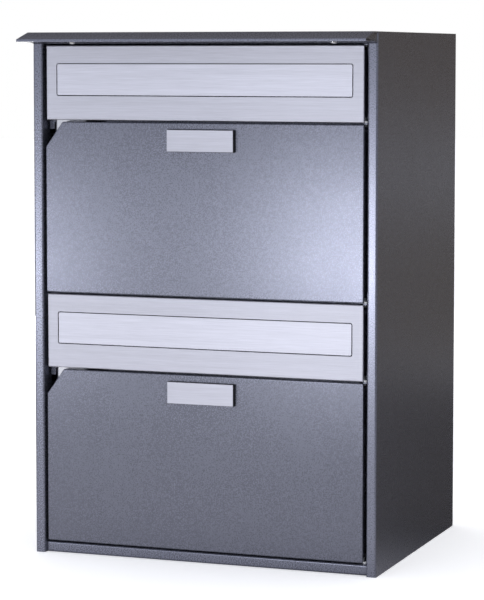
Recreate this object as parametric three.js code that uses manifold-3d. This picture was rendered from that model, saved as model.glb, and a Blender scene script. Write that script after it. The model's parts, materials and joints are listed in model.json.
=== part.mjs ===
// Two-box cluster mailbox unit. Each box has a locked letter compartment behind a brushed
// letter door with a push-in flap, and below it an unlocked storage compartment.
// Millimetres, +Z up, front faces -Y. The origin is the middle of the base of the bounding box.
import * as THREE from 'three';
import { mergeVertices } from 'three/addons/utils/BufferGeometryUtils.js';
import Module from 'manifold-3d';

const wasm = await Module();
wasm.setup();

// ---------- driving dimensions ----------
const WIDTH = 412;
const HEIGHT = 600;
const BODY_DEPTH = 322;
const LIP_REACH = 44;
const FRONT = -(BODY_DEPTH - LIP_REACH) / 2; // front face of the two posts
const REAR = FRONT + BODY_DEPTH;
const SIDE = WIDTH / 2;

const GAP = 0.3; // between pieces that touch
const SHEET = 1.5;
const BEND_STEPS = 5;

const POST_WIDTH = 11.5;
const POST_RETURN = 22;
const POST_TOP = 587;
const POST_INNER = SIDE - POST_WIDTH;
const BEND_RADIUS = 2.3;
const REAR_FLANGE = 20;
const WALL_INNER = SIDE - SHEET;
const REAR_INNER = REAR - SHEET - GAP; // front of the rear panel

const ROOF_SHEET = 2;
const SOFFIT_SHEET = 1.2;
const LIP_FLAT = 14; // level part of the roof in front of the posts
const LIP_TIP_TOP = 592;
const LIP_TIP_BOTTOM = 589.2;
const SOFFIT_STEP = 6;
const GUSSET = { inset: 0.8, sheet: 1.2, setBack: 5 }; // plate that closes an end of the lip

const BASE_RECESS = 6;
const BASE_TOP = 12.3;
const BASE_RETURN = 26;

const BOX_PITCH = 284.2; // height from one box to the next
const BOX_NAMES = ['lower', 'upper'];
const DOOR_HALF = 190.2; // half width of every front element
const STORAGE_LEFT = DOOR_HALF + 1.2; // a storage door reaches a little further left
const FACE_RECESS = 1.75; // front elements lie this far behind the posts
const FACE = FRONT + FACE_RECESS;
const FACE_ROLL = 1.4; // radius along the edges of a door's face
const ROLL_STEPS = 4;
const PAN_DEPTH = 12; // folded edge of a door
const PAN_BACK = FACE + PAN_DEPTH;
const STORAGE_BOTTOM = 18.8;
const LOWEST_DROP = 4.2; // the lowest storage door reaches this much further down
const STORAGE_TOP = 214.4;
const LETTER_BOTTOM = 216.5;
const LETTER_TOP = 301;
const GRIP_WIDTH = 21; // cut-off corner of the storage door
const GRIP_HEIGHT = 28.5;
const STRIKE_LIP = 17;

const SHELF_FRONT = PAN_BACK + 2.6;
const FLOOR_TOP = 215.7;
const FLOOR_EDGE = 10;
const DIVIDER_TOP = 302.8;

const FLAP_GAP = 1;
const FLAP_HALF = 176.35;
const FLAP_BOTTOM = LETTER_BOTTOM + 28.3;
const FLAP_HEIGHT = 35.1;
const FLAP_TOP = FLAP_BOTTOM + FLAP_HEIGHT;
const FLAP_AXIS = { y: FACE + 5, z: FLAP_TOP - 3 };
const FLAP_CORNER = 1.5;
const ROD_RADIUS = 1;
const ROD_HOLE = 1.4;
const LUG_RADIUS = 2.5;
const FLAP_LUGS = [-173, -58, 58, 173];
const FLAP_LUG_HALF = 3; // half the width of a lug
const FLAP_LUG_TOP = 1.2; // above the axis
const ROD_LUG = { x: 180, half: 1.5, reach: 3, height: 3.5 };
const ROD_END = ROD_LUG.x + 3;
const SEAL = { half: 170, sheet: 0.7, below: 1.4, above: 5 }; // rubber strip behind the flap's top edge
const SPRING = { radius: 1.9, pitch: 1.2, turns: 6, leg: 9, wire: 0.4, sides: 6, steps: 84 };
const ROOT = 0.2; // how far a fitting runs into the sheet it grows from

const HINGE = { x: 192.4, y: FRONT + 2.75 };
const PIN_RADIUS = 0.9;
const PIN_HOLE = 1.2;
const PIN_HEAD = 0.9; // half the length of a pin's end without a bush
const EYE_RADIUS = 1.8;
const EYE_HEIGHT = 1.9;
const BUSH_BLOCK = { width: 5.4, height: 5.4, depth: 8 };
const PIN_GRIP = 1.6; // length of a pin inside a bush
const PIVOT_EAR = 1.2; // sheet thickness of a pivot bracket
const PIVOT_REACH = 9; // from the pin back to the end of the ear
const PIVOT_FOOT = { height: 12, front: 3.2 };

const LOCK = { x: -160, z: 188.8, face: FRONT + 14.5 };
const BRACKET = { left: -186, right: -146, bottom: 173.8, top: 216.2, depth: 17.5, radius: 3 };
const BARREL = { flange: 10.5, body: 8, bore: 5.4, nose: 2.2, rear: FRONT + 34.5 };
const PLUG = { radius: 5, overhang: 0.7 };
const KEYWAY = { half: 3, height: 0.6, depth: 14 };
const CAM = { length: 38, width: 13, sheet: 2, round: 6.4, room: 5 };
const CATCH = { half: 10, sheet: 1.5, height: 14 };

const PLATE = { half: 40, height: 25, drop: 7.4, stand: 6.2, sheet: 1, rim: 0.4 };
const MAGNET = { left: -POST_INNER + GAP, right: -180, low: 36, high: 66, face: PAN_BACK + 2.7,
  depth: 16, nose: 2, margin: 3 };
const STRIKE_MARGIN = 2;
const WALL_HOLE = { radius: 4.5, x: 150, low: 90, high: 510 };
const ROOF_SCREWS = { left: -147, right: 163 };
const ROOF_SCREW = { y: FRONT - 22, domeSteps: 6, head: 3.6, dome: 2.3, shank: 1.6, length: 3.4 };

// ---------- materials ----------
function finish(color, roughness, metalness) {
  return new THREE.MeshStandardMaterial({ color, roughness, metalness });
}

const powderCoat = finish(0x6c6d76, 0.45, 0.5);
const aluminium = finish(0xc9c9d6, 0.35, 1);
const zincSteel = finish(0xb5b3ae, 0.4, 0.9);
const chrome = finish(0xd8d8d8, 0.15, 1);
const blackPlastic = finish(0x1b1b1c, 0.6, 0);
const palePlastic = finish(0xd9d9d6, 0.5, 0);

// ---------- solids ----------
function solid(geometry) {
  const bare = geometry.index ? geometry : geometry.clone();
  for (const name of Object.keys(bare.attributes)) {
    if (name !== 'position') bare.deleteAttribute(name);
  }
  const merged = mergeVertices(bare, 1e-4);
  return new wasm.Manifold(new wasm.Mesh({
    numProp: 3,
    vertProperties: new Float32Array(merged.attributes.position.array),
    triVerts: new Uint32Array(merged.index.array),
  }));
}

function geometryOf(manifold) {
  const mesh = manifold.getMesh();
  const geometry = new THREE.BufferGeometry();
  geometry.setAttribute('position', new THREE.BufferAttribute(mesh.vertProperties, 3));
  geometry.setIndex(new THREE.BufferAttribute(mesh.triVerts, 1));
  return geometry;
}

function block(x0, x1, y0, y1, z0, z1) {
  const geometry = new THREE.BoxGeometry(x1 - x0, y1 - y0, z1 - z0);
  geometry.translate((x0 + x1) / 2, (y0 + y1) / 2, (z0 + z1) / 2);
  return solid(geometry);
}

// A round bar between two places along an axis, which passes through the other two coordinates.
function bar(axis, radius, from, to, [a, b], sides = 20) {
  const geometry = new THREE.CylinderGeometry(radius, radius, to - from, sides);
  const middle = (from + to) / 2;
  if (axis === 'x') geometry.rotateZ(-Math.PI / 2).translate(middle, a, b);
  if (axis === 'y') geometry.translate(a, middle, b);
  if (axis === 'z') geometry.rotateX(Math.PI / 2).translate(a, b, middle);
  return solid(geometry);
}

// An outline swept straight along an axis. The outline's two coordinates are the other two axes.
function prism(axis, outline, from, to) {
  const shape = Array.isArray(outline) ? new THREE.Shape(outline.map(([a, b]) => new THREE.Vector2(a, b)))
    : outline;
  const geometry = new THREE.ExtrudeGeometry(shape, { depth: to - from, bevelEnabled: false });
  geometry.translate(0, 0, from);
  if (axis === 'x') geometry.rotateX(Math.PI / 2).rotateZ(Math.PI / 2);
  if (axis === 'y') geometry.rotateX(Math.PI / 2).translate(0, from + to, 0);
  return solid(geometry);
}

// Outer shape of a door: an XZ outline from the face back to the pan's rear, with a rolled front edge.
function doorBlank(outline) {
  const shape = new THREE.Shape(outline.map(([a, b]) => new THREE.Vector2(a, b)));
  const geometry = new THREE.ExtrudeGeometry(shape, {
    depth: PAN_DEPTH,
    bevelThickness: FACE_ROLL,
    bevelSize: FACE_ROLL,
    bevelOffset: -FACE_ROLL,
    bevelSegments: ROLL_STEPS,
  });
  geometry.rotateX(Math.PI / 2).translate(0, PAN_BACK + FACE_ROLL, 0);
  const behind = block(-SIDE, SIDE, PAN_BACK, REAR, -1, HEIGHT);
  return cut(solid(geometry), behind);
}

// Corners of a path, with each inner corner rounded to an arc.
function roundedPath(corners, radius) {
  const points = corners.map(([a, b]) => new THREE.Vector2(a, b));
  const path = [points[0]];
  for (let i = 1; i < points.length - 1; i++) {
    const back = points[i - 1].clone().sub(points[i]).normalize();
    const on = points[i + 1].clone().sub(points[i]).normalize();
    const half = Math.acos(back.dot(on)) / 2;
    const middle = back.clone().add(on).normalize();
    const centre = points[i].clone().addScaledVector(middle, radius / Math.sin(half));
    const start = points[i].clone().addScaledVector(back, radius / Math.tan(half)).sub(centre);
    const turn = Math.sign(start.cross(points[i].clone().sub(centre))) * (Math.PI - 2 * half);
    for (let step = 0; step <= BEND_STEPS; step++) {
      const angle = (turn * step) / BEND_STEPS;
      path.push(start.clone().rotateAround(new THREE.Vector2(), angle).add(centre));
    }
  }
  path.push(points.at(-1));
  return path;
}

// Outline of a sheet of even thickness folded along a path, which is its middle line.
function foldedSheet(corners, thickness, radius) {
  const path = roundedPath(corners, radius);
  const left = [];
  const right = [];
  path.forEach((point, i) => {
    const into = point.clone().sub(path[Math.max(i - 1, 0)]).normalize();
    const out = path[Math.min(i + 1, path.length - 1)].clone().sub(point).normalize();
    const along = into.add(out).normalize();
    const side = new THREE.Vector2(-along.y, along.x);
    const straight = i ? point.clone().sub(path[i - 1]) : path[1].clone().sub(point);
    const reach = thickness / 2 / Math.abs(side.dot(new THREE.Vector2(-straight.y, straight.x).normalize()));
    left.push(point.clone().addScaledVector(side, reach).toArray());
    right.push(point.clone().addScaledVector(side, -reach).toArray());
  });
  return [...left, ...right.reverse()];
}

function roundedRectangle(x0, x1, z0, z1, radius) {
  const shape = new THREE.Shape();
  shape.moveTo(x0 + radius, z0);
  shape.lineTo(x1 - radius, z0).absarc(x1 - radius, z0 + radius, radius, -Math.PI / 2, 0);
  shape.lineTo(x1, z1 - radius).absarc(x1 - radius, z1 - radius, radius, 0, Math.PI / 2);
  shape.lineTo(x0 + radius, z1).absarc(x0 + radius, z1 - radius, radius, Math.PI / 2, Math.PI);
  shape.lineTo(x0, z0 + radius).absarc(x0 + radius, z0 + radius, radius, Math.PI, 1.5 * Math.PI);
  return new THREE.Shape(shape.getPoints(4));
}

function join(...solids) {
  return wasm.Manifold.union(solids);
}

function cut(body, ...tools) {
  return body.subtract(join(...tools));
}

function piece(name, body, material) {
  const mesh = new THREE.Mesh(geometryOf(body), material);
  mesh.name = name;
  return mesh;
}

// ---------- housing ----------
function sidePanel() {
  const half = SHEET / 2;
  const section = foldedSheet([
    [POST_INNER + half, FRONT + POST_RETURN],
    [POST_INNER + half, FRONT + half],
    [SIDE - half, FRONT + half],
    [SIDE - half, REAR_INNER - GAP - half],
    [SIDE - REAR_FLANGE, REAR_INNER - GAP - half],
  ], SHEET, BEND_RADIUS - half);
  const roofLow = HEIGHT - ROOF_SHEET - GAP;
  const lipRoom = block(POST_INNER - 1, WALL_INNER, FRONT - 1, FRONT + POST_RETURN + 1, POST_TOP, HEIGHT + 1);
  const roofRoom = block(SIDE - REAR_FLANGE - 1, WALL_INNER, FRONT, REAR, roofLow, HEIGHT + 1);
  return cut(prism('z', section, 0, HEIGHT), lipRoom, roofRoom);
}

function roofPanel() {
  const stepY = FRONT - SOFFIT_STEP;
  const bendY = FRONT - LIP_FLAT;
  const tipY = FRONT - LIP_REACH;
  const soffitEnd = FRONT + POST_RETURN;
  const soffitLow = POST_TOP + GAP;
  const slope = (HEIGHT - LIP_TIP_TOP) / (bendY - tipY);
  const inside = LIP_TIP_BOTTOM + SOFFIT_SHEET;
  const apexY = tipY + (inside - LIP_TIP_TOP + ROOF_SHEET) / slope;
  const section = [
    [REAR_INNER - GAP, HEIGHT],
    [bendY, HEIGHT],
    [tipY, LIP_TIP_TOP],
    [tipY, LIP_TIP_BOTTOM],
    [stepY, LIP_TIP_BOTTOM],
    [FRONT, soffitLow],
    [soffitEnd, soffitLow],
    [soffitEnd, soffitLow + SOFFIT_SHEET],
    [FRONT, soffitLow + SOFFIT_SHEET],
    [stepY, inside],
    [apexY, inside],
    [bendY, HEIGHT - ROOF_SHEET],
    [REAR_INNER - GAP, HEIGHT - ROOF_SHEET],
  ];
  const cheeks = [-1, 1].map((side) => {
    const edges = [side * (WALL_INNER - GAP), side * (SIDE + 1)].sort((a, b) => a - b);
    return block(...edges, FRONT - GAP, REAR + 1, POST_TOP - 1, HEIGHT + 1);
  });
  const screwHoles = Object.values(ROOF_SCREWS).map((x) => bar('z', ROOF_SCREW.shank + GAP,
    LIP_TIP_BOTTOM - 1, LIP_TIP_BOTTOM + SOFFIT_SHEET + 1, [x, ROOF_SCREW.y]));
  return cut(prism('x', section, -SIDE, SIDE), ...cheeks, ...screwHoles);
}

// Plate that closes the hollow end of the roof lip, a little inside its edge.
function roofGusset(side) {
  const low = LIP_TIP_BOTTOM + SOFFIT_SHEET + GAP;
  const high = HEIGHT - ROOF_SHEET - GAP;
  const outline = [
    [FRONT - LIP_REACH + GUSSET.setBack, low],
    [FRONT - 2 * GAP, low],
    [FRONT - 2 * GAP, high],
    [FRONT - LIP_FLAT + 1, high],
  ];
  const outer = SIDE - GUSSET.inset;
  const edges = [side * outer, side * (outer - GUSSET.sheet)].sort((a, b) => a - b);
  return prism('x', outline, ...edges);
}

function roofScrew(x) {
  const dome = [];
  for (let i = 0; i <= ROOF_SCREW.domeSteps; i++) {
    const angle = (Math.PI / 2) * (i / ROOF_SCREW.domeSteps);
    dome.push(new THREE.Vector2(ROOF_SCREW.head * Math.sin(angle), -ROOF_SCREW.dome * Math.cos(angle)));
  }
  dome[0].x = 0;
  dome.push(new THREE.Vector2(ROOF_SCREW.shank, 0));
  dome.push(new THREE.Vector2(ROOF_SCREW.shank, ROOF_SCREW.length));
  dome.push(new THREE.Vector2(0, ROOF_SCREW.length));
  const geometry = new THREE.LatheGeometry(dome, 20);
  geometry.rotateX(Math.PI / 2);
  geometry.translate(x, ROOF_SCREW.y, LIP_TIP_BOTTOM - GAP);
  return solid(geometry);
}

function rearPanel() {
  const holes = [-1, 1].flatMap((side) => [WALL_HOLE.low, WALL_HOLE.high].map((z) => bar('y',
    WALL_HOLE.radius, REAR - 5, REAR + 5, [side * WALL_HOLE.x, z])));
  return cut(block(-SIDE + 1, SIDE - 1, REAR - SHEET, REAR, 1, HEIGHT), ...holes);
}

// Plan outline of a shelf: narrow between the posts, full width behind their inner returns.
function shelfOutline(front, rear, narrow) {
  const wide = WALL_INNER - GAP;
  const shoulder = FRONT + POST_RETURN + GAP;
  return [
    [-narrow, front], [narrow, front], [narrow, shoulder], [wide, shoulder],
    [wide, rear], [-wide, rear], [-wide, shoulder], [-narrow, shoulder],
  ];
}

function basePanel() {
  const half = SHEET / 2;
  const front = FRONT + BASE_RECESS;
  const rear = REAR_INNER - SHEET - 3 * GAP;
  const section = foldedSheet([
    [front + BASE_RETURN, half],
    [front + half, half],
    [front + half, BASE_TOP - half],
    [rear - half, BASE_TOP - half],
    [rear - half, half],
    [rear - BASE_RETURN, half],
  ], SHEET, BEND_RADIUS - half);
  const plan = prism('z', shelfOutline(front - 1, rear, POST_INNER - GAP), -1, BASE_TOP + 1);
  return prism('x', section, -SIDE, SIDE).intersect(plan);
}

// A shelf sheet with its front edge folded down. It passes beside the pivot brackets' feet.
function shelf(top) {
  const rear = REAR_INNER - SHEET - 3 * GAP;
  const narrow = POST_INNER - PIVOT_EAR - 2 * GAP;
  const plate = prism('z', shelfOutline(SHELF_FRONT, rear, narrow), top - SHEET, top);
  const edge = block(-narrow, narrow, SHELF_FRONT, SHELF_FRONT + SHEET, top - FLOOR_EDGE, top);
  return join(plate, edge);
}

// The letter floor leaves room at the left for the lock bracket and the turning cam.
function letterFloor() {
  const bracketRoom = block(BRACKET.left - 1, BRACKET.right + 1, SHELF_FRONT - 1, LOCK.face + SHEET + GAP,
    BRACKET.bottom, FLOOR_TOP + 1);
  const edgeRoom = block(BRACKET.left - 1, BRACKET.right + 1, SHELF_FRONT - 1, SHELF_FRONT + SHEET + 1,
    BRACKET.bottom, FLOOR_TOP - SHEET - GAP);
  const camRoom = block(LOCK.x - CAM.width, LOCK.x + CAM.length, SHELF_FRONT - 1, BARREL.rear + CAM.room + 1,
    FLOOR_TOP - FLOOR_EDGE - 1, FLOOR_TOP + 1);
  return cut(shelf(FLOOR_TOP), bracketRoom, edgeRoom, camRoom);
}

// ---------- door pivots ----------
// Ear on the right-hand post that holds a pivot pin in the gap between two front elements.
// Its foot lies along the post, above the ear or, where up is false, below it.
function pivotBracket(low, high, up) {
  const middle = (low + high) / 2;
  const half = PIVOT_EAR / 2;
  const outer = POST_INNER - GAP;
  const [footLow, footHigh] = up ? [-half, PIVOT_FOOT.height] : [-PIVOT_FOOT.height, half];
  const foot = block(outer - PIVOT_EAR, outer, HINGE.y + PIVOT_FOOT.front, FRONT + POST_RETURN - 1,
    middle + footLow, middle + footHigh);
  const ear = block(HINGE.x - EYE_RADIUS, outer, HINGE.y - EYE_RADIUS, HINGE.y + PIVOT_REACH,
    middle - half, middle + half);
  const hole = bar('z', PIN_HOLE, middle - 1, middle + 1, [HINGE.x, HINGE.y]);
  return cut(join(ear, foot), hole);
}

function pivotPin(low, high, below, above) {
  const middle = (low + high) / 2;
  const from = below ? low - PIN_GRIP : middle - PIN_HEAD;
  const to = above ? high + PIN_GRIP : middle + PIN_HEAD;
  return bar('z', PIN_RADIUS, from, to, [HINGE.x, HINGE.y], 16);
}

// Plastic corner block of a door, with the eye that turns on the pin. It points up from
// a door's lower corner, or down from its upper corner.
function pivotBush(edge, up) {
  const span = (height) => (up > 0 ? [edge, edge + height] : [edge - height, edge]);
  const right = DOOR_HALF - GAP;
  const front = FACE + SHEET + GAP;
  const body = block(right - BUSH_BLOCK.width, right, front, front + BUSH_BLOCK.depth,
    ...span(BUSH_BLOCK.height));
  const arm = block(right - 1, HINGE.x, front, HINGE.y + EYE_RADIUS, ...span(EYE_HEIGHT));
  const eye = bar('z', EYE_RADIUS, ...span(EYE_HEIGHT), [HINGE.x, HINGE.y], 24);
  const hole = bar('z', PIN_HOLE, edge - EYE_HEIGHT - 1, edge + EYE_HEIGHT + 1, [HINGE.x, HINGE.y]);
  return cut(join(body, arm, eye), hole);
}

// The room that a bush takes out of a door's folded edges.
function bushNotch(edge, up) {
  const span = up > 0 ? [edge - 1, edge + BUSH_BLOCK.height + GAP] : [edge - BUSH_BLOCK.height - GAP, edge + 1];
  return block(DOOR_HALF - BUSH_BLOCK.width - 2 * GAP, DOOR_HALF + 1, FACE + SHEET, PAN_BACK + 1, ...span);
}

function storageBottom(level) {
  return level === 0 ? STORAGE_BOTTOM - LOWEST_DROP : STORAGE_BOTTOM;
}

// Heights of the gaps between the front elements, from the base to the roof.
function frontGaps() {
  const gaps = [{ low: BASE_TOP, below: false }];
  BOX_NAMES.forEach((name, level) => {
    const lift = level * BOX_PITCH;
    Object.assign(gaps.at(-1), { high: lift + storageBottom(level), above: true });
    gaps.push({ low: lift + STORAGE_TOP, below: true, high: lift + LETTER_BOTTOM, above: true });
    gaps.push({ low: lift + LETTER_TOP, below: true });
  });
  Object.assign(gaps.at(-1), { high: POST_TOP, above: false });
  return gaps;
}

// ---------- letter door ----------
function flapOpening() {
  return prism('y', roundedRectangle(-FLAP_HALF - FLAP_GAP, FLAP_HALF + FLAP_GAP, FLAP_BOTTOM - FLAP_GAP,
    FLAP_TOP + FLAP_GAP, FLAP_CORNER + FLAP_GAP), FACE - 1, FACE + SHEET + 1);
}

function letterDoor() {
  const inner = DOOR_HALF - SHEET;
  const pan = doorBlank([
    [-DOOR_HALF, LETTER_BOTTOM], [DOOR_HALF, LETTER_BOTTOM], [DOOR_HALF, LETTER_TOP], [-DOOR_HALF, LETTER_TOP],
  ]);
  const hollow = block(-inner, inner, FACE + SHEET, PAN_BACK + 1, LETTER_BOTTOM + SHEET, LETTER_TOP - SHEET);
  const shell = cut(pan, hollow, flapOpening(), bushNotch(LETTER_BOTTOM, 1), bushNotch(LETTER_TOP, -1));
  const lugs = [-ROD_LUG.x, ROD_LUG.x].map((x) => block(x - ROD_LUG.half, x + ROD_LUG.half, FACE + SHEET - ROOT,
    FLAP_AXIS.y + ROD_LUG.reach, FLAP_AXIS.z - ROD_LUG.height, FLAP_AXIS.z + ROD_LUG.height));
  const rodHole = bar('x', ROD_HOLE, -ROD_END, ROD_END, [FLAP_AXIS.y, FLAP_AXIS.z]);
  return cut(join(shell, ...lugs), rodHole);
}

// Rubber strip that the flap's top edge closes against, which also covers the gap above it.
function flapSeal() {
  const front = FACE + SHEET + GAP;
  return block(-SEAL.half, SEAL.half, front, front + SEAL.sheet, FLAP_TOP - SEAL.below, FLAP_TOP + SEAL.above);
}

function letterFlap() {
  const plate = prism('y', roundedRectangle(-FLAP_HALF, FLAP_HALF, FLAP_BOTTOM, FLAP_TOP, FLAP_CORNER),
    FACE, FACE + SHEET);
  const lugs = FLAP_LUGS.flatMap((x) => [
    bar('x', LUG_RADIUS, x - FLAP_LUG_HALF, x + FLAP_LUG_HALF, [FLAP_AXIS.y, FLAP_AXIS.z]),
    block(x - FLAP_LUG_HALF, x + FLAP_LUG_HALF, FACE + SHEET - ROOT, FLAP_AXIS.y,
      FLAP_AXIS.z - LUG_RADIUS, FLAP_AXIS.z + FLAP_LUG_TOP),
  ]);
  const rodHole = bar('x', ROD_HOLE, -FLAP_HALF, FLAP_HALF, [FLAP_AXIS.y, FLAP_AXIS.z]);
  return cut(join(plate, ...lugs), rodHole);
}

function flapRod() {
  return bar('x', ROD_RADIUS, -ROD_END, ROD_END, [FLAP_AXIS.y, FLAP_AXIS.z], 12);
}

// Return spring: a coil round the rod with one straight leg up behind the letter door.
class SpringLine extends THREE.Curve {
  getPoint(t, target = new THREE.Vector3()) {
    const coilLength = 2 * Math.PI * SPRING.radius * SPRING.turns;
    const along = t * (coilLength + SPRING.leg);
    const angle = Math.min(along, coilLength) / SPRING.radius;
    const rise = Math.max(along - coilLength, 0);
    const start = FLAP_LUGS[2] + 2 * FLAP_LUG_HALF;
    return target.set(start + (SPRING.pitch * angle) / (2 * Math.PI),
      FLAP_AXIS.y - SPRING.radius * Math.cos(angle), FLAP_AXIS.z + SPRING.radius * Math.sin(angle) + rise);
  }
}

function flapSpring() {
  const wire = new THREE.Shape();
  wire.absarc(0, 0, SPRING.wire, 0, 2 * Math.PI);
  const section = new THREE.Shape(wire.getSpacedPoints(SPRING.sides).slice(0, SPRING.sides));
  return solid(new THREE.ExtrudeGeometry(section, { extrudePath: new SpringLine(), steps: SPRING.steps }));
}

// Angle on the letter door that the lock's cam stands behind.
function lockCatch() {
  const [left, right] = [LOCK.x - CATCH.half, LOCK.x + CATCH.half];
  const bottom = LETTER_BOTTOM + SHEET + GAP;
  const rear = BARREL.rear - GAP;
  const leg = block(left, right, FACE + SHEET + GAP, rear, bottom, bottom + CATCH.sheet);
  const stand = block(left, right, rear - CATCH.sheet, rear, bottom, bottom + CATCH.height);
  return join(leg, stand);
}

// ---------- lock ----------
function lockBracket() {
  const half = SHEET / 2;
  const section = foldedSheet([
    [BRACKET.left + half, LOCK.face + BRACKET.depth],
    [BRACKET.left + half, LOCK.face + half],
    [BRACKET.right - half, LOCK.face + half],
    [BRACKET.right - half, LOCK.face + BRACKET.depth],
  ], SHEET, BRACKET.radius);
  const hole = bar('y', BARREL.body + GAP, LOCK.face - 1, LOCK.face + SHEET + 1, [LOCK.x, LOCK.z], 24);
  const floorRoom = block(BRACKET.left - 1, BRACKET.right + 1, LOCK.face + SHEET, LOCK.face + BRACKET.depth + 1,
    FLOOR_TOP - SHEET - GAP, BRACKET.top + 1);
  return cut(prism('z', section, BRACKET.bottom, BRACKET.top), hole, floorRoom);
}

function lockBarrel() {
  const centre = [LOCK.x, LOCK.z];
  const nose = LOCK.face - GAP - BARREL.nose;
  const flange = bar('y', BARREL.flange, nose, LOCK.face - GAP, centre, 24);
  const body = bar('y', BARREL.body, nose, BARREL.rear, centre, 24);
  const bore = bar('y', BARREL.bore, nose - 1, BARREL.rear + 1, centre, 24);
  return cut(join(flange, body), bore);
}

function lockPlug() {
  const nose = LOCK.face - GAP - BARREL.nose;
  const plug = bar('y', PLUG.radius, nose, BARREL.rear + PLUG.overhang, [LOCK.x, LOCK.z], 24);
  const keyway = block(LOCK.x - KEYWAY.half, LOCK.x + KEYWAY.half, nose - 1, nose + KEYWAY.depth,
    LOCK.z - KEYWAY.height, LOCK.z + KEYWAY.height);
  return cut(plug, keyway);
}

function lockCam() {
  const near = BARREL.rear + PLUG.overhang + GAP;
  const half = CAM.width / 2;
  const outline = roundedRectangle(LOCK.x - half, LOCK.x + CAM.length, LOCK.z - half, LOCK.z + half, CAM.round);
  return prism('y', outline, near, near + CAM.sheet);
}

// ---------- storage door ----------
// Front outline of a storage door from its bottom edge up, moved in by an inset.
function storageOutline(bottom, inset) {
  const left = -STORAGE_LEFT + inset;
  const right = DOOR_HALF - inset;
  const low = bottom + inset;
  const high = STORAGE_TOP - inset;
  const slant = Math.hypot(GRIP_WIDTH, GRIP_HEIGHT);
  const gripX = -STORAGE_LEFT + GRIP_WIDTH + (inset * (slant - GRIP_WIDTH)) / GRIP_HEIGHT;
  const gripZ = STORAGE_TOP - GRIP_HEIGHT - (inset * (slant - GRIP_HEIGHT)) / GRIP_WIDTH;
  return [[left, low], [right, low], [right, high], [gripX, high], [left, gripZ]];
}

function storageDoor(bottom) {
  const lipFront = PAN_BACK - SHEET;
  const hollow = prism('y', storageOutline(bottom, SHEET), FACE + SHEET, lipFront);
  const mouth = block(-STORAGE_LEFT + STRIKE_LIP, DOOR_HALF - SHEET, lipFront - 1, PAN_BACK + 1,
    bottom + SHEET, STORAGE_TOP - SHEET);
  const opening = mouth.intersect(prism('y', storageOutline(bottom, SHEET), lipFront - 2, PAN_BACK + 2));
  return cut(doorBlank(storageOutline(bottom, 0)), hollow, opening, bushNotch(bottom, 1),
    bushNotch(STORAGE_TOP, -1));
}

function nameHolder() {
  const top = STORAGE_TOP - PLATE.drop;
  const front = FACE - PLATE.stand + PLATE.sheet + GAP;
  return block(-PLATE.half, PLATE.half, front, FACE - GAP, top - PLATE.height, top);
}

function namePlate() {
  const top = STORAGE_TOP - PLATE.drop;
  const front = FACE - PLATE.stand;
  const half = PLATE.half - PLATE.rim;
  return block(-half, half, front, front + PLATE.sheet, top - PLATE.height + PLATE.rim, top - PLATE.rim);
}

function magnetCatch() {
  const { left, right, low, high, face, depth, nose, margin } = MAGNET;
  const body = block(left, right, face + nose, face + depth, low, high);
  const pole = block(left + margin, right - margin, face, face + nose + 1, low + margin, high - margin);
  return join(body, pole);
}

function strikePlate() {
  return block(-STORAGE_LEFT + STRIKE_MARGIN, -STORAGE_LEFT + STRIKE_LIP - STRIKE_MARGIN, PAN_BACK + GAP,
    PAN_BACK + GAP + SHEET, MAGNET.low, MAGNET.high);
}

// ---------- assembly ----------
function housing() {
  const group = new THREE.Group();
  const right = sidePanel();
  group.add(piece('side_panel_right', right, powderCoat));
  group.add(piece('side_panel_left', right.mirror([1, 0, 0]), powderCoat));
  group.add(piece('roof_panel', roofPanel(), powderCoat));
  group.add(piece('rear_panel', rearPanel(), powderCoat));
  group.add(piece('base_panel', basePanel(), powderCoat));
  group.add(piece('divider_shelf', shelf(DIVIDER_TOP), powderCoat));
  for (const [hand, side] of [['left', -1], ['right', 1]]) {
    group.add(piece(`roof_gusset_${hand}`, roofGusset(side), powderCoat));
    group.add(piece(`roof_screw_${hand}`, roofScrew(ROOF_SCREWS[hand]), chrome));
  }
  frontGaps().forEach(({ low, high, below, above }, i) => {
    group.add(piece(`pivot_bracket_${i + 1}`, pivotBracket(low, high, above), powderCoat));
    group.add(piece(`pivot_pin_${i + 1}`, pivotPin(low, high, below, above), zincSteel));
  });
  return group;
}

function letterbox(name, level) {
  const group = new THREE.Group();
  const bottom = storageBottom(level);
  const parts = [
    ['letter_floor', letterFloor(), powderCoat],
    ['lock_bracket', lockBracket(), zincSteel],
    ['lock_barrel', lockBarrel(), chrome],
    ['lock_plug', lockPlug(), chrome],
    ['lock_cam', lockCam(), zincSteel],
    ['lock_catch', lockCatch(), zincSteel],
    ['letter_door', letterDoor(), aluminium],
    ['letter_flap', letterFlap(), aluminium],
    ['flap_rod', flapRod(), zincSteel],
    ['flap_spring', flapSpring(), zincSteel],
    ['flap_seal', flapSeal(), blackPlastic],
    ['letter_bush_bottom', pivotBush(LETTER_BOTTOM, 1), palePlastic],
    ['letter_bush_top', pivotBush(LETTER_TOP, -1), blackPlastic],
    ['storage_door', storageDoor(bottom), powderCoat],
    ['name_holder', nameHolder(), blackPlastic],
    ['name_plate', namePlate(), aluminium],
    ['magnet_catch', magnetCatch(), blackPlastic],
    ['strike_plate', strikePlate(), zincSteel],
    ['storage_bush_bottom', pivotBush(bottom, 1), palePlastic],
    ['storage_bush_top', pivotBush(STORAGE_TOP, -1), blackPlastic],
  ];
  for (const [part, body, material] of parts) {
    group.add(piece(`${part}_${name}`, body, material));
  }
  return group;
}

const mailbox = new THREE.Group();
mailbox.add(housing());
BOX_NAMES.forEach((name, level) => {
  const box = letterbox(name, level);
  box.position.z = level * BOX_PITCH;
  mailbox.add(box);
});

export default mailbox;
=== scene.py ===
"""Looks of the two-box cluster mailbox unit: materials, edges, small fittings, light and camera."""
import json
import math

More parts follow.
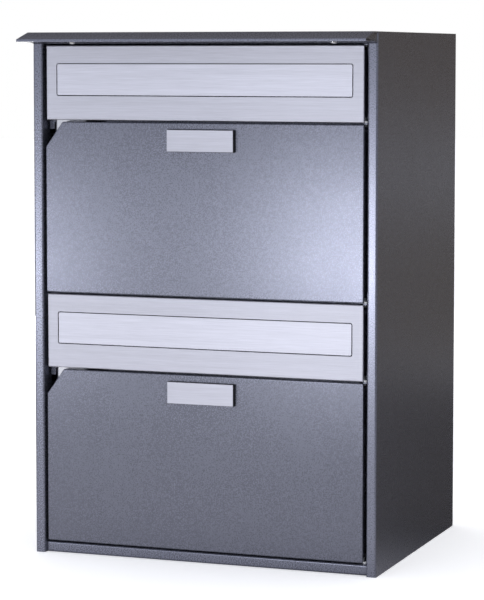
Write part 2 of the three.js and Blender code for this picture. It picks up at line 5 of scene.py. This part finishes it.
import bmesh
import bpy
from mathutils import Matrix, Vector


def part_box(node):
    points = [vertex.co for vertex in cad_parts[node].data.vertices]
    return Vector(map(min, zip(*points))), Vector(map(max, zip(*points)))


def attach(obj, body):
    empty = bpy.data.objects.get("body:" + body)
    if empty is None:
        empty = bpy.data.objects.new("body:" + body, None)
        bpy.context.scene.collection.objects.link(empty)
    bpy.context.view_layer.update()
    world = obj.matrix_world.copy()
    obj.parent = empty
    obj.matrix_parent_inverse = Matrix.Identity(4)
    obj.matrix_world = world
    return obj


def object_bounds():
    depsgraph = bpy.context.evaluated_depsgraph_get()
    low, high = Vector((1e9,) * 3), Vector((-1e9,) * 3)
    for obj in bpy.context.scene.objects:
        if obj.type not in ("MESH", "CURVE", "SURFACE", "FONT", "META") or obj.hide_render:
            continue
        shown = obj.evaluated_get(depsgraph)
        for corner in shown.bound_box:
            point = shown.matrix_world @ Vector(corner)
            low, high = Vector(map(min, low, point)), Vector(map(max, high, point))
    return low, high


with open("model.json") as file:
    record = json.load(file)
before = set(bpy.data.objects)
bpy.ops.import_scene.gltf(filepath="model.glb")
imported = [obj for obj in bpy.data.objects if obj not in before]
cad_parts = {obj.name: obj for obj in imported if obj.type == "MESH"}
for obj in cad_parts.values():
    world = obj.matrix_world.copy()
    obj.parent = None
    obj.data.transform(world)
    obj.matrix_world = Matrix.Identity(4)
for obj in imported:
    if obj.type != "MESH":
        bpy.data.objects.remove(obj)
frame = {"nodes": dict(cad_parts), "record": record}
CAD_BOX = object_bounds()

# ---------- the frame's places: right side, rear and top, and the front of the posts ----------
SIDE, REAR, TOP = CAD_BOX[1]
POST_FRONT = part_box("side_panel_right")[0].y

# ---------- surface finish: lengths in metres, angles in degrees ----------
EDGE_SOFTNESS = 0.00028
SOFTENED_ANGLE = 40  # edges sharper than this are softened
SMOOTH_ANGLE = 35  # bends gentler than this shade smoothly
FLAT_ANGLE = 0.6  # faces that differ by less than this are one flat face
WELD_DISTANCE = 0.000005
LARGE_FACE_WEIGHT = 80

PEBBLE_SCALE = 640
FLECK_SCALE = 2.1 * PEBBLE_SCALE
COAT_TONES = ((0.3, -0.18), (0.5, -0.04), (0.6, 0.26), (0.7, 0.75))  # noise, change of brightness
BRUSHED = (0.02, 1, 1)  # stretches noise into streaks along X

COAT = (0.168, 0.174, 0.212)
ALUMINIUM = (0.56, 0.56, 0.61)
# nodes that get a brighter copy of their finish: painted light, as if more light fell on them
PAINTED_LIGHT_NODES = ("side_panel_", "rear_panel", "base_panel", "roof_", "letter_flap_")

# ---------- fittings on the rear panel: a profile is (radius, depth) from pole to pole ----------
WALL_HOLE_X = 0.15
WALL_HOLE_HEIGHTS = (0.09, 0.51)
PLUG_PROFILE = (
    (0, -0.0044), (0.005, -0.0041), (0.0072, -0.0034), (0.0078, -0.0024), (0.0076, -0.0017),
    (0.0043, -0.0016), (0.0043, -0.0006), (0.0038, -0.0002), (0.0026, -0.0003),
    (0.0021, -0.0010), (0, -0.0011),
)
RIVET_INSET = 0.010
RIVET_SHARES = (0.05, 0.275, 0.5, 0.725, 0.95)  # of the cabinet's height
RIVET_PROFILE = (
    (0, -0.0006), (0.0009, -0.0006), (0.0010, 0.0002), (0.0020, 0.0003), (0.0028, 0.0002),
    (0.0033, -0.0001), (0.0033, -0.0005), (0, -0.0007),
)

# ---------- light, floor and camera ----------
WHITE = (1, 1, 1)
COOL = (0.92, 0.94, 1.0)
SOFTBOXES = (  # name, place, target, size, power, colour
    ("low_right", (-0.3, POST_FRONT - 1.6, 0.21), (0.1, POST_FRONT, 0.3), (0.25, 0.2), 3.2, COOL),
    ("low_left", (-1.05, POST_FRONT - 1.6, 0.175), (-0.1, POST_FRONT, 0.3), (0.25, 0.2), 2.5, COOL),
    ("low_back", (-1.5, 2.0, 0.35), (0, REAR, 0.3), (1.2, 0.8), 14, WHITE),
)
OVERHEAD_STRENGTH = 1.3
OVERHEAD_SPREAD = 40
SURROUND_FRONT = (0.52, 0.55, 0.65)
SURROUND_BACK = (0.34, 0.33, 0.32)
FLAGS = (  # dim patches of the surround: direction, half angle where it ends, colour
    ((0.275, 0.96, 0.0), 40, (0.135, 0.107, 0.076)),  # mirrored by the right side
    ((-0.35, 0.85, 0.42), 38, (0.11, 0.10, 0.105)),  # mirrored by the roof's front slope
)
FLOOR_RADIUS = 14
FLOOR_SEEN = (0.92, 0.92, 0.92)
FLOOR_BOUNCE = (0.46, 0.46, 0.46)
FLOOR_GLOW = 0.4  # lifts the paper to the white of the surround, and lights nothing
MATS = (  # patches of the floor's bounce: centre, radii between which it fades out, colour
    ((0.0, -0.40, 0.0), (0.3, 0.9), (0.84, 0.82, 0.82)),  # mirrored by the base and the door's foot
    ((0.05, -0.95, 0.0), (0.1, 0.5), (0.22, 0.21, 0.22)),  # mirrored by the lowest door's middle
    ((1.7, 3.9, 0.0), (1.9, 3.2), (0.17, 0.14, 0.10)),  # mirrored by the right side's middle
    ((0.66, 0.65, 0.0), (0.6, 1.1), (0.06, 0.05, 0.04)),  # mirrored by the right side's foot
)
CAMERA_PLACE = (0.9793, POST_FRONT - 2.51, 0.5729)
CAMERA_YAW = 20.34
CAMERA_PITCH = 4.33  # downwards
CAMERA_LENS = 144.8
CAMERA_SHIFT = -0.1015
CAMERA_RANGE = 50


# ---------- node helpers ----------
class Tree:
    """A node tree, with short calls that add, link and set nodes."""

    def __init__(self, tree):
        self.tree = tree

    def add(self, kind, **settings):
        node = self.tree.nodes.new(kind)
        for key, value in settings.items():
            setattr(node, key, value)
        return node

    def feed(self, socket, value):
        """Links a socket to another one, or gives it a constant. A colour has three channels."""
        if isinstance(value, bpy.types.NodeSocket):
            self.tree.links.new(value, socket)
        else:
            socket.default_value = (*value, 1) if socket.type == "RGBA" else value

    def math(self, operation, first, second):
        node = self.add("ShaderNodeMath", operation=operation)
        self.feed(node.inputs[0], first)
        self.feed(node.inputs[1], second)
        return node.outputs["Value"]

    def measure(self, operation, first, second):
        """Number that a vector operation makes of two vectors."""
        node = self.add("ShaderNodeVectorMath", operation=operation)
        self.feed(node.inputs[0], first)
        self.feed(node.inputs[1], second)
        return node.outputs["Value"]

    def mix(self, factor, first, second):
        """Colour between two colours."""
        node = self.add("ShaderNodeMix", data_type="RGBA")
        self.feed(node.inputs["Factor"], factor)
        self.feed(node.inputs[6], first)
        self.feed(node.inputs[7], second)
        return node.outputs[2]

    def map_range(self, value, source, target=(0, 1), interpolation="LINEAR"):
        """Moves a value from one range to another, and holds it there."""
        node = self.add("ShaderNodeMapRange", interpolation_type=interpolation)
        names = ("From Min", "From Max", "To Min", "To Max")
        for name, limit in zip(names, (*source, *target)):
            node.inputs[name].default_value = limit
        self.feed(node.inputs["Value"], value)
        return node.outputs["Result"]

    def ramp(self, source, stops):
        node = self.add("ShaderNodeValToRGB")
        elements = node.color_ramp.elements
        while len(elements) < len(stops):
            elements.new(0.5)
        for element, (position, colour) in zip(elements, stops):
            element.position = position
            element.color = (*colour, 1)
        self.feed(node.inputs["Fac"], source)
        return node.outputs["Color"]


class Finish(Tree):
    """A material's node tree, with noise in the model's own place and the shader's sockets."""

    def __init__(self, name):
        self.material = bpy.data.materials.new(name)
        self.material.use_nodes = True
        super().__init__(self.material.node_tree)
        self.shader = self.tree.nodes["Principled BSDF"]
        self.place = self.add("ShaderNodeTexCoord").outputs["Object"]

    def set(self, **values):
        for key, value in values.items():
            self.feed(self.shader.inputs[key.replace("_", " ")], value)

    def noise(self, scale, detail=2.0, roughness=0.5, stretch=(1, 1, 1)):
        mapping = self.add("ShaderNodeMapping")
        self.feed(mapping.inputs["Scale"], stretch)
        self.feed(mapping.inputs["Vector"], self.place)
        node = self.add("ShaderNodeTexNoise")
        self.feed(node.inputs["Scale"], scale)
        self.feed(node.inputs["Detail"], detail)
        self.feed(node.inputs["Roughness"], roughness)
        self.feed(node.inputs["Vector"], mapping.outputs["Vector"])
        return node.outputs["Fac"]

    def blend(self, first, second, share):
        """Two noises added up, the first of them with this share."""
        return self.math("ADD", self.math("MULTIPLY", first, share),
                         self.math("MULTIPLY", second, 1 - share))

    def spread(self, noise, low, high):
        """Stretches a noise's middle range over low to high."""
        return self.map_range(noise, (0.3, 0.7), (low, high))

    def bump(self, height, distance, strength):
        node = self.add("ShaderNodeBump")
        self.feed(node.inputs["Strength"], strength)
        self.feed(node.inputs["Distance"], distance)
        self.feed(node.inputs["Height"], height)
        self.set(Normal=node.outputs["Normal"])


# ---------- materials ----------
def shade(colour, factor):
    return tuple(channel * factor for channel in colour)


def powder_coat(name, colour, contrast=1.0):
    """Fine-textured metallic paint: pale mica flecks in a slightly pebbled, darker film."""
    finish = Finish(name)
    pebble = finish.noise(PEBBLE_SCALE, detail=3, roughness=0.6)
    fleck = finish.noise(FLECK_SCALE, detail=2, roughness=0.7)
    cloud = finish.noise(14, detail=3)
    stops = [(value, shade(colour, 1 + contrast * change)) for value, change in COAT_TONES]
    gloss = finish.math("ADD", finish.spread(pebble, 0.25, 0.30), finish.spread(cloud, -0.01, 0.01))
    finish.set(Metallic=0.7, Roughness=gloss)
    finish.set(Base_Color=finish.ramp(finish.blend(pebble, fleck, 0.6), stops))
    finish.bump(pebble, distance=0.00004, strength=0.12 * contrast)
    return finish.material


def brushed_aluminium(name, colour):
    """Anodised aluminium brushed from side to side, with fine streaks along X."""
    finish = Finish(name)
    hair = finish.noise(1400, detail=3, roughness=0.6, stretch=BRUSHED)
    band = finish.noise(220, detail=3, roughness=0.6, stretch=BRUSHED)
    streak = finish.blend(hair, band, 0.6)
    stops = [(0.36, shade(colour, 0.88)), (0.64, shade(colour, 1.08))]
    across = finish.add("ShaderNodeVectorTransform", vector_type="VECTOR", convert_from="OBJECT",
                        convert_to="WORLD")
    across.inputs["Vector"].default_value = (0, 0, 1)
    finish.set(Metallic=1.0, Anisotropic=0.55, Tangent=across.outputs["Vector"])
    finish.set(Base_Color=finish.ramp(streak, stops), Roughness=finish.spread(streak, 0.43, 0.48))
    finish.bump(streak, distance=0.00002, strength=0.2)
    return finish.material


def zinc_steel(name, colour):
    """Galvanised steel with a soft spangle."""
    finish = Finish(name)
    spangle = finish.noise(160, detail=4, roughness=0.65)
    stops = [(0.35, shade(colour, 0.8)), (0.65, shade(colour, 1.1))]
    finish.set(Metallic=1.0, Base_Color=finish.ramp(spangle, stops))
    finish.set(Roughness=finish.spread(spangle, 0.28, 0.45))
    finish.bump(finish.noise(900), distance=0.00003, strength=0.4)
    return finish.material


def polished_metal(name, colour):
    finish = Finish(name)
    haze = finish.noise(90, detail=3)
    stops = [(0.3, shade(colour, 0.92)), (0.7, colour)]
    finish.set(Metallic=1.0, Base_Color=finish.ramp(haze, stops))
    finish.set(Roughness=finish.spread(haze, 0.08, 0.16))
    finish.bump(finish.noise(500), distance=0.00002, strength=0.3)
    return finish.material


def moulded_plastic(name, colour, roughness=0.5):
    finish = Finish(name)
    grain = finish.noise(1200)
    tint = finish.noise(40, detail=3)
    stops = [(0.3, shade(colour, 0.9)), (0.7, shade(colour, 1.08))]
    finish.set(Base_Color=finish.ramp(tint, stops))
    finish.set(Roughness=finish.spread(grain, roughness - 0.05, roughness + 0.08))
    finish.bump(grain, distance=0.00005, strength=0.4)
    return finish.material


MATERIALS = {
    "powder_coat": powder_coat("powder_coat", COAT),
    "brushed_aluminium": brushed_aluminium("brushed_aluminium", ALUMINIUM),
    "zinc_steel": zinc_steel("zinc_steel", (0.52, 0.52, 0.54)),
    "lock_chrome": polished_metal("lock_chrome", (0.8, 0.8, 0.8)),
    "screw_steel": polished_metal("screw_steel", (0.82, 0.81, 0.79)),
    "black_plastic": moulded_plastic("black_plastic", (0.012, 0.012, 0.013)),
    "pale_plastic": moulded_plastic("pale_plastic", (0.72, 0.72, 0.70), roughness=0.42),
}
# Brighter copies of two finishes for the nodes listed above: painted light, which makes the housing
# panels, roof and letter flaps paler than the rest of their slot, as if more light fell on them.
PAINTED_LIGHT_FINISHES = {
    "powder_coat": powder_coat("powder_coat_housing_painted_light", shade(COAT, 1.32), contrast=0.2),
    "brushed_aluminium": brushed_aluminium("brushed_aluminium_flap_painted_light", shade(ALUMINIUM, 1.16)),
}


# ---------- objects ----------
def place(name, data):
    """New object of this data in the scene."""
    obj = bpy.data.objects.new(name, data)
    bpy.context.scene.collection.objects.link(obj)
    return obj


def place_shape(name, shape, material):
    """New object of a bmesh, which is used up."""
    mesh = bpy.data.meshes.new(name)
    shape.to_mesh(mesh)
    shape.free()
    mesh.materials.append(material)
    return place(name, mesh)


def smooth_group():
    """Geometry nodes that shade smoothly across every edge up to an angle."""
    name = "smooth_by_angle"
    if name in bpy.data.node_groups:
        return bpy.data.node_groups[name]
    group = bpy.data.node_groups.new(name, "GeometryNodeTree")
    group.interface.new_socket("Geometry", in_out="INPUT", socket_type="NodeSocketGeometry")
    group.interface.new_socket("Angle", in_out="INPUT", socket_type="NodeSocketFloat")
    group.interface.new_socket("Geometry", in_out="OUTPUT", socket_type="NodeSocketGeometry")
    tree = Tree(group)
    start = tree.add("NodeGroupInput")
    angle = tree.add("GeometryNodeInputMeshEdgeAngle")
    compare = tree.add("FunctionNodeCompare", data_type="FLOAT", operation="LESS_EQUAL")
    faces = tree.add("GeometryNodeSetShadeSmooth")
    edges = tree.add("GeometryNodeSetShadeSmooth", domain="EDGE")
    end = tree.add("NodeGroupOutput")
    tree.feed(faces.inputs["Geometry"], start.outputs["Geometry"])
    tree.feed(edges.inputs["Geometry"], faces.outputs["Geometry"])
    tree.feed(compare.inputs["A"], angle.outputs["Unsigned Angle"])
    tree.feed(compare.inputs["B"], start.outputs["Angle"])
    tree.feed(edges.inputs["Shade Smooth"], compare.outputs["Result"])
    tree.feed(end.inputs["Geometry"], edges.outputs["Geometry"])
    return group


def smooth(obj):
    for polygon in obj.data.polygons:
        polygon.use_smooth = True
    modifier = obj.modifiers.new("smooth_by_angle", "NODES")
    modifier.node_group = smooth_group()
    modifier["Socket_1"] = math.radians(SMOOTH_ANGLE)


# ---------- CAD nodes: material and softened edges ----------
def node_material(node, slot):
    # the housing panels, roof and letter flaps take the brighter copies, which are painted light
    painted_lighter = node.startswith(PAINTED_LIGHT_NODES) and slot in PAINTED_LIGHT_FINISHES
    return PAINTED_LIGHT_FINISHES[slot] if painted_lighter else MATERIALS[slot]


def dress_node(obj, material):
    obj.data.materials.clear()
    obj.data.materials.append(material)
    custom = obj.data.attributes.get("custom_normal")
    if custom:
        obj.data.attributes.remove(custom)
    weld = obj.modifiers.new("weld", "WELD")
    weld.merge_threshold = WELD_DISTANCE
    flat = obj.modifiers.new("merge_flat_faces", "DECIMATE")
    flat.decimate_type = "DISSOLVE"
    flat.angle_limit = math.radians(FLAT_ANGLE)
    bevel = obj.modifiers.new("soft_edges", "BEVEL")
    bevel.width = EDGE_SOFTNESS
    bevel.segments = 2
    bevel.limit_method = "ANGLE"
    bevel.angle_limit = math.radians(SOFTENED_ANGLE)
    smooth(obj)
    normals = obj.modifiers.new("flat_faces_stay_flat", "WEIGHTED_NORMAL")
    normals.keep_sharp = True
    normals.weight = LARGE_FACE_WEIGHT


def dress_all_nodes():
    for part in frame["record"]["subparts"]:
        node = part["node"]
        dress_node(frame["nodes"][node], node_material(node, part["material_slot"]))


# ---------- fittings on the rear panel ----------
def turned(name, profile, centres, slot, steps):
    """One piece of the housing: a solid turned about Y at each centre."""
    angles = [2 * math.pi * i / steps for i in range(steps)]
    shape = bmesh.new()
    for centre in centres:
        rings = []
        for radius, depth in profile:
            middle = Vector(centre) + Vector((0, depth, 0))
            spokes = [Vector((math.cos(a), 0, math.sin(a))) * radius for a in angles]
            if not radius:
                spokes = [Vector()]
            rings.append([shape.verts.new(middle + spoke) for spoke in spokes])
        for near, far in zip(rings, rings[1:]):
            for i in range(steps):
                turns = ((near, i), (near, i + 1), (far, i + 1), (far, i))
                corners = [ring[turn % len(ring)] for ring, turn in turns]
                shape.faces.new(dict.fromkeys(corners))
    bmesh.ops.recalc_face_normals(shape, faces=shape.faces)
    piece = place_shape(name, shape, MATERIALS[slot])
    smooth(piece)
    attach(piece, "housing")


def make_wall_plugs():
    """Black plugs pressed into the four wall holes from inside, flush with the rear face."""
    holes = [(x, REAR, z) for x in (-WALL_HOLE_X, WALL_HOLE_X) for z in WALL_HOLE_HEIGHTS]
    turned("wall_plugs", PLUG_PROFILE, holes, "black_plastic", steps=32)


def make_rear_rivets():
    """Blind rivets that hold the rear panel to the flanges of the side panels."""
    flange = SIDE - RIVET_INSET
    places = [(x, REAR, TOP * share) for x in (-flange, flange) for share in RIVET_SHARES]
    turned("rear_rivets", RIVET_PROFILE, places, "zinc_steel", steps=24)


# ---------- stage, light and camera ----------
def floor_material():
    """Plain paper sweep. What it throws back onto the object is greyer, with the mats on it."""
    finish = Finish("floor_paper")
    to_camera = finish.add("ShaderNodeLightPath").outputs["Is Camera Ray"]
    colour = FLOOR_BOUNCE
    for centre, radii, mat in MATS:
        apart = finish.measure("DISTANCE", finish.place, centre)
        outside = finish.map_range(apart, radii, interpolation="SMOOTHSTEP")
        colour = finish.mix(outside, mat, colour)
    glow = finish.math("MULTIPLY", to_camera, FLOOR_GLOW)
    finish.set(Roughness=0.9, Base_Color=finish.mix(to_camera, colour, FLOOR_SEEN))
    finish.set(Emission_Color=WHITE, Emission_Strength=glow)
    return finish.material


def make_floor():
    shape = bmesh.new()
    bmesh.ops.create_circle(shape, cap_ends=True, segments=96, radius=FLOOR_RADIUS)
    place_shape("floor", shape, floor_material())


def flagged(tree, direction, colour):
    """The surround's colour with each flag laid over it."""
    for centre, half_angle, dim in FLAGS:
        facing = tree.measure("DOT_PRODUCT", direction, Vector(centre).normalized())
        ends = [math.cos(math.radians(angle)) for angle in (half_angle, half_angle / 3)]
        inside = tree.map_range(facing, ends, interpolation="SMOOTHSTEP")
        colour = tree.mix(inside, colour, dim)
    return colour


def make_world():
    """Studio surround: cool and bright in front, warm and dim behind, white to the camera."""
    world = bpy.data.worlds.new("studio")
    bpy.context.scene.world = world
    world.use_nodes = True
    world.node_tree.nodes.clear()
    tree = Tree(world.node_tree)
    direction = tree.add("ShaderNodeTexCoord").outputs["Generated"]
    split = tree.add("ShaderNodeSeparateXYZ")
    tree.feed(split.inputs["Vector"], direction)
    depth = tree.map_range(split.outputs["Y"], (-1, 1))
    colour = tree.ramp(depth, [(0, SURROUND_FRONT), (1, SURROUND_BACK)])
    light = tree.add("ShaderNodeBackground")
    tree.feed(light.inputs["Color"], flagged(tree, direction, colour))
    shown = tree.add("ShaderNodeBackground")
    tree.feed(shown.inputs["Color"], WHITE)
    mix = tree.add("ShaderNodeMixShader")
    tree.feed(mix.inputs["Fac"], tree.add("ShaderNodeLightPath").outputs["Is Camera Ray"])
    tree.feed(mix.inputs[1], light.outputs["Background"])
    tree.feed(mix.inputs[2], shown.outputs["Background"])
    tree.feed(tree.add("ShaderNodeOutputWorld").inputs["Surface"], mix.outputs["Shader"])


def make_softbox(name, location, target, size, power, colour):
    data = bpy.data.lights.new(name, "AREA")
    data.shape = "RECTANGLE"
    data.size, data.size_y = size
    data.energy = power
    data.color = colour
    light = place(name, data)
    light.location = location
    aim = Vector(target) - Vector(location)
    light.rotation_euler = aim.to_track_quat("-Z", "Y").to_euler()
    light.visible_camera = False


def make_lights():
    for softbox in SOFTBOXES:
        make_softbox(*softbox)
    data = bpy.data.lights.new("overhead", "SUN")
    data.energy = OVERHEAD_STRENGTH
    data.angle = math.radians(OVERHEAD_SPREAD)
    place("overhead", data)


def make_camera():
    """Camera at the viewing angle of the reference: a little above and to the right."""
    data = bpy.data.cameras.new("camera")
    data.sensor_width = 36
    data.lens = CAMERA_LENS
    data.shift_y = CAMERA_SHIFT
    data.clip_end = CAMERA_RANGE
    camera = place("camera", data)
    camera.location = CAMERA_PLACE
    tilt = math.pi / 2 - math.radians(CAMERA_PITCH)
    camera.rotation_euler = (tilt, 0, math.radians(CAMERA_YAW))
    bpy.context.scene.camera = camera


bpy.context.scene.view_settings.view_transform = "Standard"
dress_all_nodes()
make_wall_plugs()
make_rear_rivets()
make_floor()
make_world()
make_lights()
make_camera()
